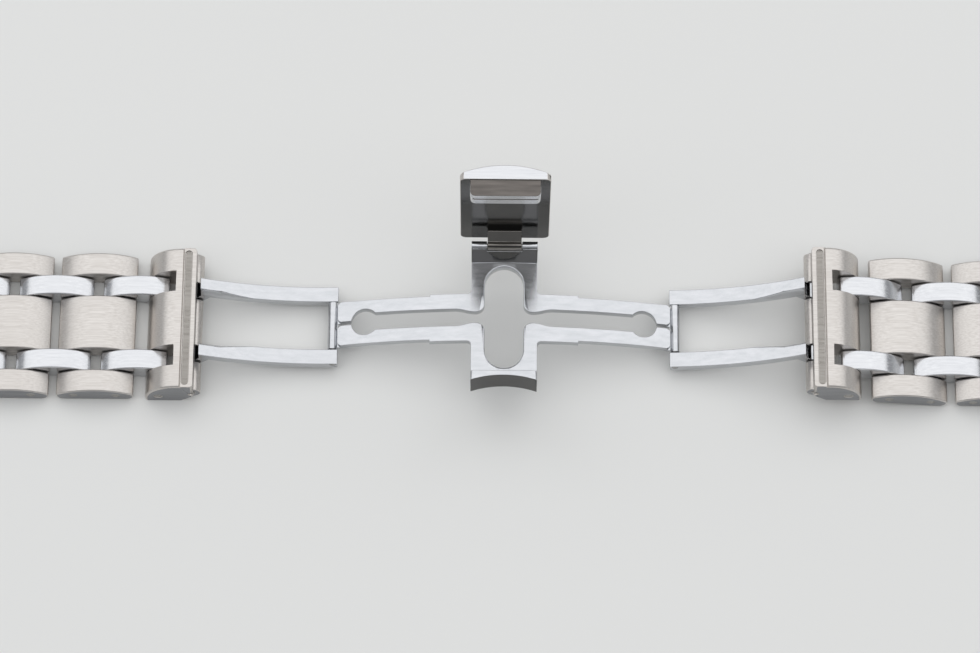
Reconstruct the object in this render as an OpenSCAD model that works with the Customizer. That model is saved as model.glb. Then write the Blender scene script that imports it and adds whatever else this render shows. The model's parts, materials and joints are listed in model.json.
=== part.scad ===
// Five-row steel watch bracelet with a butterfly clasp, lying open with its outer face up.
// X runs along the bracelet, Y across it and Z up from the surface that it lies on.
// Each half is drawn once, running outward from the clasp along +X, and the left one is mirrored.

/* [Links] */
// Width of the bracelet over its outer links
band_w = 18; // [17.2:0.2:22]
// Distance from one row of links to the next
link_pitch = 10.29; // [10.2:0.05:11.2]
// Length of a centre or outer link
row_len = 9.32; // [8.8:0.02:9.5]
// Length of an intermediate link
mid_len = 9.07; // [8.6:0.02:9.3]
// Width of the centre links
centre_w = 6.9; // [6.3:0.1:7.1]
// Width of the intermediate links
mid_w = 2.5; // [2.1:0.1:2.6]
// Side gap between neighbouring links
side_gap = 0.1; // [0.06:0.02:0.2]
// Thickness of the centre and outer links
link_t = 3; // [2.8:0.05:3.2]
// How far the intermediate links stand above the others
mid_rise = 0.1; // [0:0.05:0.2]
// Radius of the crowned upper face along the bracelet
crown_r = 7.8; // [7:0.1:12]
// Radius of the lower end corners of a link
foot_r = 1; // [0.6:0.05:1.1]
// Radius of the upper end edges of a link
end_r = 0.25; // [0.1:0.05:0.4]
// Rounding of the long edges of the satin links
edge_r = 0.22; // [0.1:0.02:0.35]
// Rounding of the long edges of the polished links
mid_edge_r = 0.16; // [0.08:0.02:0.3]

/* [Link pins] */
// Height of the pins above the underside of a link
pin_z = 1.45; // [1.35:0.05:1.6]
// Radius of the pins
pin_r = 0.5; // [0.4:0.02:0.55]
// Clearance round a pin where it turns
run_gap = 0.03; // [0.02:0.01:0.06]
// Clearance round a pin where it is held
held_gap = 0.01; // [0.005:0.005:0.02]

/* [End links] */
// Width of the end links
end_w = 18.1; // [17.4:0.1:22]
// Height of the clasp hinge pin above the underside of the end link
hinge_pin_z = 2.1; // [2:0.05:2.3]
// Height of the end link
end_h = 4.64; // [4.4:0.02:4.66]
// Distance from the hinge pin out to the step between strip and body
end_step_x = 1.4; // [1.3:0.05:1.6]
// Distance that the strip reaches inward past the hinge pin
end_rim_x = 0.25; // [0.2:0.05:0.3]
// Radius of the quarter-round body
end_round_r = 4.25; // [4.2:0.01:4.3]
// Distance from the hinge pin out to the first link pin
end_slot_pin_x = 4.1; // [4:0.05:4.2]
// Distance from the hinge pin out to the slots for the first links
slot_x = 2.2; // [2.1:0.05:2.3]
// Radius of the hinge knuckles
knuckle_r = 1.05; // [1:0.01:1.08]
// Radius of the clasp hinge pins
hinge_pin_r = 0.4; // [0.3:0.02:0.45]
// Half length of the clasp hinge pins
hinge_pin_half = 8.85; // [8.4:0.05:8.95]
// Half width over the knuckles
knuckle_half = 8.8; // [8.3:0.1:8.8]
// Width of the machined groove in the strip
groove_w = 0.84; // [0.6:0.02:0.9]
// Distance from the hinge pin out to the groove
groove_x = 0.3; // [0.1:0.05:0.3]
// Depth of the machined groove
groove_d = 0.3; // [0.1:0.05:0.4]

/* [Folding rails] */
// Distance between the two pins of a rail
rail_reach = 16.9; // [16.8:0.05:17]
// Distance from the centre line to the inner face of a rail
rail_y = 3.1; // [3.1:0.02:3.16]
// Width of a rail
rail_w = 1.9; // [1.6:0.05:1.9]
// Thickness of a rail
rail_t = 1.25; // [1.1:0.05:1.25]
// Radius of the curved upper face of a rail
rail_bow_r = 36; // [35:0.5:37]
// Where the upper face is lowest, from the blade pin
rail_low_x = 2; // [1.8:0.1:2.4]
// Height of that lowest place over the blade pin
rail_low_z = 0.4; // [0.35:0.01:0.45]
// Distance that a rail stops short of the hinge pin
rail_stop = 0.85; // [0.8:0.05:0.95]
// Radius of the eye round the hinge pin
eye_r = 1; // [0.9:0.02:1]
// Height of the hinge pin over the blade pin when the rail lies flat
rail_rise = 0.3; // [0.25:0.01:0.35]
// Where the bevel on the inner upper edge of a rail starts
bevel_x = 9.5; // [8:0.1:12]
// Width of that bevel
bevel_w = 0.5; // [0.3:0.05:0.7]
// Length over which the bevel widens from nothing
bevel_run = 4; // [2:0.5:5]

/* [Clasp blade] */
// Distance from the middle of the clasp to a blade pin
blade_pin_x = 20.8; // [20.6:0.05:21]
// Height of the blade pins
blade_pin_z = 1.8; // [1.75:0.05:1.9]
// Radius of the blade pins
blade_pin_r = 0.3; // [0.24:0.02:0.34]
// Radius of the blade's end barrels
blade_eye_r = 0.62; // [0.56:0.02:0.66]
// Height of the blade's upper face at its middle
blade_top = 5.6; // [5.5:0.05:5.7]
// Radius of the arched blade
blade_arch_r = 72.4; // [70:0.2:74]
// Thickness of the blade
blade_t = 1; // [0.8:0.05:1.1]
// Half width of the blade next to the cross plate
blade_root_half = 3.04; // [2.9:0.02:3.04]
// Half width of the blade towards its ends
blade_tip_half = 2.8; // [2.6:0.05:2.9]
// Where the narrower part starts
blade_step_x = 9; // [8:0.25:11]
// Half width of the slit along the blade
slit_half = 1.1; // [0.9:0.02:1.2]
// Half width of the slit at its neck beside the cross plate
neck_half = 0.7; // [0.5:0.02:0.8]
// Radius of the keyhole at the end of the slit
keyhole_r = 1.68; // [1.5:0.02:1.8]
// Distance from the middle of the clasp to a keyhole
keyhole_x = 16.9; // [16:0.1:17.2]
// Half width of the narrow slit from the keyhole to the end barrel
tip_slit_half = 0.25; // [0.15:0.01:0.35]

/* [Cross plate] */
// Half width of the cross plate along the bracelet
plate_half = 4; // [3.8:0.05:4.05]
// Half width of the slot in the cross plate
slot_half = 2.34; // [2:0.02:2.5]
// Half length of that slot
slot_reach = 6.5; // [6:0.05:6.6]
// Chamfer along the rim of that slot
slot_chamfer = 0.16; // [0.08:0.02:0.25]
// Distance from the middle to the outer face of the front wall
wall_front_y = 9.2; // [9.1:0.05:9.3]
// Thickness of the front wall
wall_t = 1.2; // [1:0.05:1.3]
// Height of the top of the front wall
wall_top = 8.7; // [8.5:0.05:8.72]
// Radius of the thumbnail scoop in the front wall
scoop_r = 13; // [12:0.5:20]
// Depth of that scoop
scoop_d = 0.6; // [0.3:0.05:0.6]

/* [Lid] */
// Distance from the middle of the clasp to the lid hinge
lid_pin_y = 7.77; // [7.72:0.01:7.82]
// Height of the lid hinge
lid_pin_z = 9.35; // [9.3:0.01:9.45]
// Radius of the lid hinge barrel
lid_barrel_r = 0.52; // [0.44:0.02:0.54]
// Radius of the lid pin
lid_pin_r = 0.25; // [0.2:0.01:0.28]
// Half width of the lid
lid_half = 5.35; // [5.3:0.05:5.5]
// Height of the lid's crown
lid_crown = 1.85; // [1.8:0.05:2.4]
// Height of the lid's side edges
lid_edge = 0.75; // [0.4:0.05:0.9]
// Height of the lid's underside over its hinge when closed
lid_under = 1.5; // [1.49:0.01:1.6]
// Distance that the lid reaches behind its hinge
lid_back = 1.2; // [1:0.05:1.3]
// Distance that the lid reaches in front of its hinge
lid_front = 16.9; // [16.8:0.05:17.2]
// Radius of the lid's corners
lid_corner_r = 0.8; // [0.4:0.05:1.2]
// Half width of the latch bar
bar_half = 4.15; // [3.6:0.05:4.16]
// Depth of the latch bar below the lid
bar_d = 2.1; // [1.8:0.05:2.1]
// Thickness of the latch bar
bar_t = 2.3; // [2:0.05:2.4]
// Half width of the hinge lug between the knuckles
lug_half = 2.05; // [1.8:0.05:2.05]
// How far the hinge lug reaches along the lid in front of its hinge
lug_reach = 1.05; // [0.8:0.05:1.3]

/* [Lug end links] */
// Distance from the last link pin to the spring bar hole
spring_bar_x = 5; // [4.6:0.1:6]
// Radius of the spring bar hole
spring_bar_r = 0.9; // [0.6:0.05:1]

/* [Rest pose] */
// How far the right rails have begun to fold, lifting their end link
right_lift = 7.2; // [4:0.2:8]
// Share of the step down from a raised end link that its first links take
first_drop = 0.547; // [0.5:0.01:0.6]

/* [Hidden] */
$fn = 120;
eps = 0.01;
SIDES = ["left", "right"];
// A row is a centre link and two outer links on two pins
ROWS = 4;
COLOURS = [[0.80, 0.79, 0.77], [0.91, 0.91, 0.92], [0.66, 0.65, 0.63]];
SATIN = COLOURS[0];
POLISHED = COLOURS[1];
STEEL_PIN = COLOURS[2];

// Across the bracelet
centre_half = centre_w / 2;
mid_in = centre_half + side_gap;
mid_out = mid_in + mid_w;
outer_in = mid_out + side_gap;
band_half = band_w / 2;
end_half = end_w / 2;
link_pin_half = band_half - 0.03;

// Along a half, where every pin is half a pitch from the next
pin_step = link_pitch / 2;
row_over = (row_len - pin_step) / 2;
mid_over = (mid_len - pin_step) / 2;
// The first intermediate links end close to their pin, inside the slots
first_over = 1;
mid_top = link_t + mid_rise;
// Room on each side of an intermediate link in its slot
slot_clear = 0.05;

// A channel under the first links lets the folded rails lie below them
fold_gap = 0.1;
fold_relief_d = 0.5;
fold_in = rail_y - fold_gap;
fold_out = rail_y + rail_w + fold_gap;

// The hinge pin, from the blade pin, with the rails turned by an angle a
function hinge_x(a) = blade_pin_x + rail_reach * cos(a) - rail_rise * sin(a);
function hinge_z(a) = blade_pin_z + rail_reach * sin(a) + rail_rise * cos(a);

// Place and slope of each link, by the pin at its inner end: the first intermediate pair,
// then rows and pairs in turn, and last the lug end link. Each link after the first
// comes down until the lower corner of its outer end meets the surface.
function corner_over(i) = (i % 2 == 1 ? row_over : mid_over) - foot_r;
function settle(z, i) = asin((z - pin_z) / (pin_step + corner_over(i)));
function chain(a) =
    let (x0 = hinge_x(a) + end_slot_pin_x, z0 = hinge_z(a) - hinge_pin_z + pin_z)
    [for (i = 0, x = x0, z = z0, t = asin(first_drop * (z0 - pin_z) / pin_step);
          i <= 2 * ROWS + 1;
          i = i + 1, x = x + pin_step * cos(t), z = z - pin_step * sin(t), t = settle(z, i))
        [x, z, t]];

LIFTS = [0, right_lift];
CHAINS = [chain(LIFTS[0]), chain(LIFTS[1])];
lug_end_r = link_t / 2;
half_lengths = [for (c = CHAINS) c[2 * ROWS + 1][0] + spring_bar_x + lug_end_r];

// The origin is under the middle of the whole model
mid_shift_x = (half_lengths[0] - half_lengths[1]) / 2;
mid_shift_y = (wall_front_y - lid_pin_y - lid_under - lid_crown) / 2;

// A flat outline in X and Z, drawn out across the bracelet from y0 to y1
module across(y0, y1) {
    translate([0, y1, 0]) rotate([90, 0, 0]) linear_extrude(height = y1 - y0) children();
}

// A round rod or bore across the bracelet
module rod(r, y0, y1) {
    translate([0, y1, 0]) rotate([90, 0, 0]) cylinder(r = r, h = y1 - y0);
}

// The same shape on both edges of the bracelet
module both_edges() {
    children();
    mirror([0, 1, 0]) children();
}

// A disc with rounded rims, lying across the bracelet
module rimmed_disc(r, w, rim) {
    rotate([90, 0, 0]) rotate_extrude() {
        translate([0, -w / 2]) square([r - rim, w]);
        translate([0, -w / 2 + rim]) square([r, w - 2 * rim]);
        for (s = [-1, 1]) translate([r - rim, s * (w / 2 - rim)]) circle(rim);
    }
}

// A rectangle with round corners, from its near corner
module round_rect(w, h, r) {
    translate([r, 0]) square([w - 2 * r, h]);
    translate([0, r]) square([w, h - 2 * r]);
    for (x = [r, w - r]) for (y = [r, h - r]) translate([x, y]) circle(r);
}

// Puts a shape on one side, at the pin (x, z) and turned down outward by t
module placed(side, x, z, t) {
    translate([mid_shift_x, mid_shift_y, 0])
        mirror([side == 0 ? 1 : 0, 0, 0])
            translate([x, 0, z]) rotate([0, t, 0]) children();
}

module at_link(side, i) {
    c = CHAINS[side][i];
    placed(side, c[0], c[1], c[2]) children();
}

module at_blade_pin(side) {
    placed(side, blade_pin_x, blade_pin_z, -LIFTS[side]) children();
}

module at_hinge(side) {
    placed(side, hinge_x(LIFTS[side]), hinge_z(LIFTS[side]), 0) children();
}

module at_clasp() {
    translate([mid_shift_x, mid_shift_y, 0]) children();
}

// Links, each drawn from the pin at its inner end

// Height of the centre of the upper end rounding, d from the middle of the crown
function end_round_z(top, d) = top - crown_r + sqrt(pow(crown_r - end_r, 2) - pow(d - end_r, 2));

module link_profile(x0, x1, top) {
    low = -pin_z;
    mid = pin_step / 2;
    intersection() {
        translate([mid, top - crown_r]) circle(crown_r);
        translate([x0 + end_r, low + foot_r]) square([x1 - x0 - 2 * end_r, link_t]);
    }
    translate([x0 + foot_r, low]) square([x1 - x0 - 2 * foot_r, foot_r + eps]);
    for (e = [[x0, 1], [x1, -1]]) {
        round_z = end_round_z(top, abs(e[0] - mid));
        translate([e[0] + e[1] * end_r, round_z]) circle(end_r);
        translate([e[0] + e[1] * foot_r, low + foot_r]) circle(foot_r);
        translate([min(e[0], e[0] + e[1] * foot_r), low + foot_r - eps])
            square([foot_r, round_z - low - foot_r + eps]);
    }
}

module link_column(over_in, over_out, y0, y1, top, rim, bore_r) {
    difference() {
        intersection() {
            across(y0, y1) link_profile(-over_in, pin_step + over_out, top);
            translate([pin_step / 2, (y0 + y1) / 2, top - crown_r]) rimmed_disc(crown_r, y1 - y0, rim);
        }
        for (x = [0, pin_step]) translate([x, 0, 0]) rod(bore_r, y0 - 1, y1 + 1);
    }
}

// Room below a first link for the folded rail on one edge
module fold_channel() {
    translate([-link_pitch, fold_in, -pin_z - 1]) cube([3 * link_pitch, fold_out - fold_in, 1 + fold_relief_d]);
}

module centre_link(k) {
    color(SATIN) difference() {
        link_column(row_over, row_over, -centre_half, centre_half, link_t - pin_z, edge_r, pin_r + held_gap);
        if (k == 1) both_edges() fold_channel();
    }
}

module outer_pair() {
    color(SATIN) both_edges()
        link_column(row_over, row_over, outer_in, band_half, link_t - pin_z, edge_r, pin_r + held_gap);
}

module mid_link(over_in) {
    link_column(over_in, mid_over, mid_in, mid_out, mid_top - pin_z, mid_edge_r, pin_r + run_gap);
}

module mid_pair(k) {
    over_in = k == 1 ? first_over : mid_over;
    color(POLISHED) both_edges() difference() {
        mid_link(over_in);
        if (k == 1) fold_channel();
    }
}

module link_pin() {
    color(STEEL_PIN) rod(pin_r, -link_pin_half, link_pin_half);
}

module row_pins() {
    for (x = [0, pin_step]) translate([x, 0, 0]) link_pin();
}

// The lug end link holds the last pair in two slots and the spring bar in its round end
module lug_end() {
    color(SATIN) difference() {
        union() {
            intersection() {
                across(-band_half, band_half) link_profile(-row_over, pin_step + row_over, link_t - pin_z);
                translate([pin_step / 2, 0, link_t - pin_z - crown_r]) rimmed_disc(crown_r, band_w, edge_r);
                translate([-link_pitch, -band_w, -band_w]) cube([link_pitch + pin_step / 2, 2 * band_w, 2 * band_w]);
            }
            translate([pin_step / 2 - eps, -band_half, -pin_z])
                cube([spring_bar_x - pin_step / 2 + eps, band_w, link_t]);
            translate([spring_bar_x, 0, lug_end_r - pin_z]) rod(lug_end_r, -band_half, band_half);
        }
        both_edges() translate([-link_pitch, mid_in - slot_clear, -band_w])
            cube([link_pitch + mid_over + foot_r / 2, mid_w + 2 * slot_clear, 2 * band_w]);
        rod(pin_r + held_gap, -band_w, band_w);
        translate([spring_bar_x, 0, lug_end_r - pin_z]) rod(spring_bar_r, -band_w, band_w);
    }
}

// End link, drawn from the hinge pin

// Room beside the eye of a rail for its neck, and below the eye for the folded rail
eye_room = 0.15;
rail_pocket_more = 0.3;
// Where the end link's underside starts to rise towards its knuckles
end_toe_x = 1.4;
line_w = 0.14;
line_d = 0.25;
strip_corner_r = 0.45;
end_edge_r = 0.35;

module end_strip() {
    intersection() {
        translate([-end_rim_x, -end_half, -link_pitch]) linear_extrude(height = 2 * link_pitch)
            round_rect(end_rim_x + end_toe_x + strip_corner_r, end_w, strip_corner_r);
        across(-end_half, end_half) polygon([
            [-end_rim_x, end_h - hinge_pin_z],
            [-end_rim_x, -knuckle_r / 2],
            [end_toe_x, -hinge_pin_z],
            [end_step_x + eps, -hinge_pin_z],
            [end_step_x + eps, end_h - hinge_pin_z]
        ]);
    }
}

module end_body() {
    intersection() {
        translate([end_step_x + 0.1, 0, end_h - hinge_pin_z - end_round_r])
            rimmed_disc(end_round_r, end_w, end_edge_r);
        translate([end_step_x, -end_half, -hinge_pin_z]) cube([link_pitch, end_w, end_h]);
    }
}

module end_knuckles() {
    rod(knuckle_r, -fold_in + fold_gap / 2, fold_in - fold_gap / 2);
    both_edges() rod(knuckle_r, fold_out + fold_gap / 2, knuckle_half);
}

// Room for the eye of a rail, and for the rail when it is folded below
module rail_pocket() {
    room_r = eye_r + eye_room;
    rod(room_r, fold_in, fold_out);
    translate([-room_r, fold_in, -link_pitch])
        cube([2 * room_r + rail_pocket_more, fold_out - fold_in, link_pitch]);
    translate([-room_r, fold_in, -link_pitch])
        cube([link_pitch, fold_out - fold_in, link_pitch - hinge_pin_z + fold_relief_d + 0.1]);
}

module strip_groove() {
    half = end_half - 0.35;
    translate([groove_x, -half, end_h - hinge_pin_z - groove_d]) linear_extrude(height = 1)
        round_rect(groove_w, 2 * half, groove_w / 2 - eps);
}

module end_link() {
    color(SATIN) difference() {
        union() {
            end_strip();
            end_body();
            end_knuckles();
        }
        both_edges() rail_pocket();
        both_edges() translate([slot_x, mid_in - slot_clear, -link_pitch])
            cube([link_pitch, mid_w + 2 * slot_clear, 2 * link_pitch]);
        strip_groove();
        translate([end_step_x - line_w, -end_w, end_h - hinge_pin_z - line_d]) cube([line_w, 2 * end_w, 1]);
        rod(hinge_pin_r + held_gap, -end_w, end_w);
        translate([end_slot_pin_x, 0, pin_z - hinge_pin_z]) rod(pin_r + held_gap, -end_w, end_w);
    }
}

module end_link_pin() {
    translate([end_slot_pin_x, 0, pin_z - hinge_pin_z]) link_pin();
}

module hinge_pin() {
    color(STEEL_PIN) rod(hinge_pin_r, -hinge_pin_half, hinge_pin_half);
}

// Rails, drawn from the blade pin

rail_end_x = rail_reach - rail_stop;
rail_bow_z = rail_low_z + rail_bow_r;

module rail_bow() {
    intersection() {
        translate([rail_low_x, rail_bow_z]) difference() {
            circle(rail_bow_r + rail_t, $fn = 360);
            circle(rail_bow_r, $fn = 360);
        }
        translate([-blade_eye_r, -link_pitch]) square([rail_end_x + blade_eye_r, 2 * link_pitch]);
    }
}

// The neck drops from the end of the bow to the eye round the hinge pin
module rail_neck() {
    under = rail_bow_z - sqrt(pow(rail_bow_r + rail_t, 2) - pow(rail_end_x - rail_low_x, 2));
    polygon([
        [rail_end_x - eye_r - 0.5, under],
        [rail_end_x, under + rail_t * 0.8],
        [rail_end_x, under + 0.1],
        [rail_reach - eye_r * 0.3, rail_rise + eye_r * 0.93],
        [rail_reach, rail_rise],
        [rail_reach - eye_r * 0.97, rail_rise]
    ]);
}

function bow_top(x) = rail_bow_z - sqrt(pow(rail_bow_r, 2) - pow(x - rail_low_x, 2));

// Section of the bevel's cutter across the rail at x, with its edge at y on the upper face
function bevel_section(x, y, depth) =
    let (w = bevel_w, z = bow_top(x))
    [[x, y - 2 * w, z - 2 * depth], [x, y + w, z + depth], [x, y - 2 * w, z + depth]];

module rail_bevel() {
    depth = rail_t * 0.8;
    full_x = bevel_x + bevel_run;
    upright = sqrt(pow(rail_bow_r + depth, 2) - pow(full_x - rail_low_x, 2)) + bow_top(full_x) - rail_bow_z;
    polyhedron(
        points = concat(
            bevel_section(bevel_x, rail_y, upright),
            bevel_section(full_x, rail_y + bevel_w, upright)
        ),
        faces = [[0, 1, 2], [5, 4, 3], [1, 0, 3, 4], [2, 1, 4, 5], [0, 2, 5, 3]]
    );
    intersection() {
        translate([rail_low_x, 0, rail_bow_z]) rotate([90, 0, 0]) rotate_extrude($fn = 360)
            polygon([
                [rail_bow_r - 1, -rail_y + eps],
                [rail_bow_r - 1, -rail_y - bevel_w * (depth + 1) / depth],
                [rail_bow_r + depth, -rail_y + eps]
            ]);
        translate([full_x - eps, 0, -link_pitch]) cube([link_pitch, link_pitch, 2 * link_pitch]);
    }
}

module rail() {
    color(POLISHED) difference() {
        union() {
            across(rail_y, rail_y + rail_w) rail_bow();
            across(rail_y, rail_y + rail_w) rail_neck();
            translate([-blade_eye_r, rail_y, -blade_eye_r])
                cube([2 * blade_eye_r, rail_w, blade_eye_r + rail_low_z]);
            translate([rail_reach, 0, rail_rise]) rod(eye_r, rail_y, rail_y + rail_w);
        }
        rail_bevel();
        rod(blade_pin_r + run_gap, 0, band_w);
        translate([rail_reach, 0, rail_rise]) rod(hinge_pin_r + run_gap, 0, band_w);
    }
}

module blade_pin() {
    color(STEEL_PIN) rod(blade_pin_r, -rail_y - rail_w + 0.05, rail_y + rail_w - 0.05);
}

// Blade, drawn from the middle of the clasp

blade_eye_half = rail_y - 0.1;
// Rounding of the corners between the slot and the neck of the slit
neck_r = 1.1;
// Length over which the slit widens again behind its neck
neck_len = 2.5;
// Fillet between the cross plate and the arms of the blade
arm_fillet_r = 0.5;
// Round corners at the ends of the arms
tip_corner_r = 0.55;

// Outline of the slit beside the cross plate: round at the slot, necked in, then widening
function neck_curve() = concat(
    [for (a = [0:15:90]) [slot_half - eps + neck_r * (1 - cos(a)), neck_half + neck_r * (1 - sin(a))]],
    [for (a = [15:15:180])
        [slot_half + neck_r + neck_len * a / 180, neck_half + (slit_half - neck_half) * (1 - cos(a)) / 2]]
);

module slit_plan() {
    neck = neck_curve();
    last = neck[len(neck) - 1][0];
    polygon(concat([[0, 0]], [[0, neck[0][1]]], neck, [[last, 0]]));
    translate([last - eps, 0]) square([keyhole_x - last, slit_half]);
    intersection() {
        translate([keyhole_x, 0]) circle(keyhole_r);
        translate([0, 0]) square([blade_pin_x, keyhole_r]);
    }
    translate([keyhole_x, 0]) square([blade_pin_x - blade_eye_r - keyhole_x, tip_slit_half]);
}

module blade_plan() {
    difference() {
        union() {
            translate([-plate_half, -wall_front_y]) square([2 * plate_half, wall_front_y + lid_pin_y]);
            square([2 * blade_step_x, 2 * blade_root_half], center = true);
            square([2 * blade_pin_x, 2 * blade_tip_half], center = true);
            for (sx = [0, 1]) for (sy = [0, 1]) mirror([sx, 0]) mirror([0, sy])
                translate([plate_half, blade_root_half]) difference() {
                    square(arm_fillet_r);
                    translate([arm_fillet_r, arm_fillet_r]) circle(arm_fillet_r);
                }
        }
        for (sx = [0, 1]) for (sy = [0, 1]) mirror([sx, 0]) mirror([0, sy]) slit_plan();
        square([2 * slot_half, 2 * (slot_reach - slot_half)], center = true);
        for (s = [-1, 1]) translate([0, s * (slot_reach - slot_half)]) circle(slot_half);
    }
}

// What is cut off the arms above the end barrels, so that they end in round corners
module tip_trim() {
    arm_end = blade_pin_x - blade_eye_r + 0.02;
    difference() {
        translate([arm_end - tip_corner_r, -blade_eye_half]) square([2 * tip_corner_r + 1, 2 * blade_eye_half]);
        for (sy = [0, 1]) mirror([0, sy]) translate([arm_end - blade_eye_r - 1, tip_slit_half - eps])
            round_rect(blade_eye_r + 1, blade_tip_half - tip_slit_half + 2 * eps, tip_corner_r);
    }
}

module blade_arch() {
    difference() {
        whole_arch();
        for (sx = [0, 1]) mirror([sx, 0, 0]) translate([0, 0, blade_pin_z + 0.3])
            linear_extrude(height = blade_top) tip_trim();
    }
}

module whole_arch() {
    intersection() {
        translate([0, 0, -1]) linear_extrude(height = blade_top + 2) blade_plan();
        across(-band_w, band_w) intersection() {
            translate([0, blade_top - blade_arch_r]) difference() {
                circle(blade_arch_r, $fn = 720);
                circle(blade_arch_r - blade_t, $fn = 720);
            }
            translate([-blade_pin_x, 0]) square([2 * blade_pin_x, blade_top + 1]);
        }
    }
}

module front_wall() {
    corner = 0.4;
    low = blade_top - blade_t;
    across(-wall_front_y, -wall_front_y + wall_t) {
        translate([-plate_half, low - 1]) intersection() {
            round_rect(2 * plate_half, wall_top - low + 1, corner);
            translate([0, 1]) square([2 * plate_half, wall_top]);
        }
    }
}

// The back wall leans back a little, up to the lid hinge
module back_wall() {
    knuckle_gap = 0.08;
    lean = 0.15;
    foot_t = 1;
    front = lid_pin_y - lid_barrel_r;
    difference() {
        union() {
            rotate([90, 0, 90]) translate([0, 0, -plate_half]) linear_extrude(height = 2 * plate_half) polygon([
                [front - lean - foot_t / 2, blade_top - blade_t],
                [front - lean, blade_top],
                [front, lid_pin_z],
                [front + 2 * lid_barrel_r, lid_pin_z],
                [front + foot_t - lean, blade_top],
                [front + foot_t - 2 * lean, blade_top - blade_t]
            ]);
            translate([-plate_half, lid_pin_y, lid_pin_z]) rotate([0, 90, 0])
                cylinder(r = lid_barrel_r, h = 2 * plate_half);
        }
        translate([-lug_half - knuckle_gap, 0, lid_pin_z - lid_barrel_r - 0.11])
            cube([2 * (lug_half + knuckle_gap), band_w, link_pitch]);
        // The seam of each rolled knuckle
        translate([-band_w, front - 1, lid_pin_z + 0.1]) cube([2 * band_w, 1.2, 0.1]);
    }
}

module slot_rim() {
    lift = 0.05;
    h = slot_chamfer + lift;
    top = slot_half + slot_chamfer + lift;
    reach = slot_reach - slot_half;
    translate([0, 0, blade_top - slot_chamfer]) {
        for (s = [-1, 1]) translate([0, s * reach, 0]) cylinder(r1 = slot_half, r2 = top, h = h);
        across(-reach, reach) polygon([[-slot_half, 0], [slot_half, 0], [top, h], [-top, h]]);
    }
}

module blade() {
    color(POLISHED) difference() {
        union() {
            blade_arch();
            front_wall();
            back_wall();
            for (s = [-1, 1]) translate([s * blade_pin_x, 0, blade_pin_z])
                rod(blade_eye_r, -blade_eye_half, blade_eye_half);
        }
        slot_rim();
        translate([0, -wall_front_y - scoop_r + scoop_d, 0]) cylinder(r = scoop_r, h = 2 * wall_top, $fn = 360);
        for (s = [-1, 1]) translate([s * blade_pin_x, 0, blade_pin_z])
            rod(blade_pin_r + held_gap, -band_w, band_w);
        translate([-band_w, lid_pin_y, lid_pin_z]) rotate([0, 90, 0])
            cylinder(r = lid_pin_r + held_gap, h = 2 * band_w);
        // A fine line where the front wall stands on the plate
        translate([-band_w, -wall_front_y + wall_t - eps, blade_top - 0.1]) cube([2 * band_w, 0.1, 1]);
    }
}

module lid_pin() {
    half = plate_half - 0.05;
    color(STEEL_PIN) translate([-half, lid_pin_y, lid_pin_z]) rotate([0, 90, 0])
        cylinder(r = lid_pin_r, h = 2 * half);
}

// Lid, drawn closed from its hinge and stood up open

module at_lid() {
    at_clasp() translate([0, lid_pin_y, lid_pin_z]) rotate([-90, 0, 0]) children();
}

module lid() {
    rise = lid_crown - lid_edge;
    arc_r = (lid_half * lid_half + rise * rise) / (2 * rise);
    color(SATIN) intersection() {
        across(-lid_front, lid_back) intersection() {
            translate([0, lid_under + lid_crown - arc_r]) circle(arc_r, $fn = 360);
            translate([-lid_half, lid_under]) square([2 * lid_half, 2 * lid_crown]);
        }
        translate([-lid_half, -lid_front, 0]) linear_extrude(height = 2 * link_pitch)
            round_rect(2 * lid_half, lid_front + lid_back, lid_corner_r);
    }
}

module lid_latch_bar() {
    corner = 0.6;
    set_back = 0.1;
    slit = 0.22;
    slit_below = 0.9;
    slit_margin = 0.3;
    color(POLISHED) difference() {
        across(-lid_front + set_back, -lid_front + set_back + bar_t)
            translate([-bar_half, lid_under - bar_d]) intersection() {
                round_rect(2 * bar_half, 2 * bar_d, corner);
                square([2 * bar_half, bar_d]);
            }
        translate([-bar_half + slit_margin, -lid_front + set_back + slit_below, lid_under - 2 * bar_d + slit])
            cube([2 * (bar_half - slit_margin), slit, bar_d]);
    }
}

module lid_hinge_lug() {
    r = lid_barrel_r;
    color(POLISHED) difference() {
        rotate([90, 0, 90]) translate([0, 0, -lug_half]) linear_extrude(height = 2 * lug_half) {
            circle(r);
            polygon([
                [0.99 * r, 0],
                [0.55, 0.75],
                [0.8 * lid_back, lid_under],
                [-lug_reach, lid_under],
                [-0.8 * r, 0.55 * r],
                [-0.8 * r, -0.55 * r]
            ]);
        }
        translate([-band_w, 0, 0]) rotate([0, 90, 0]) cylinder(r = lid_pin_r + run_gap, h = 2 * band_w);
    }
}

// One half of the bracelet
module half(side) {
    name = SIDES[side];
    at_blade_pin(side) blade_pin();
    at_blade_pin(side) rail();
    at_blade_pin(side) mirror([0, 1, 0]) rail();
    at_hinge(side) hinge_pin();
    at_hinge(side) end_link();
    at_hinge(side) end_link_pin();
    for (k = [1:ROWS]) {
        at_link(side, 2 * k - 2) mid_pair(k);
        at_link(side, 2 * k - 1) centre_link(k);
        at_link(side, 2 * k - 1) outer_pair();
        at_link(side, 2 * k - 1) row_pins();
    }
    at_link(side, 2 * ROWS) mid_pair(ROWS + 1);
    at_link(side, 2 * ROWS + 1) lug_end();
    at_link(side, 2 * ROWS + 1) link_pin();
}

at_clasp() blade();
at_clasp() lid_pin();
at_lid() lid();
at_lid() lid_latch_bar();
at_lid() lid_hinge_lug();
half(0);
half(1);
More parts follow.
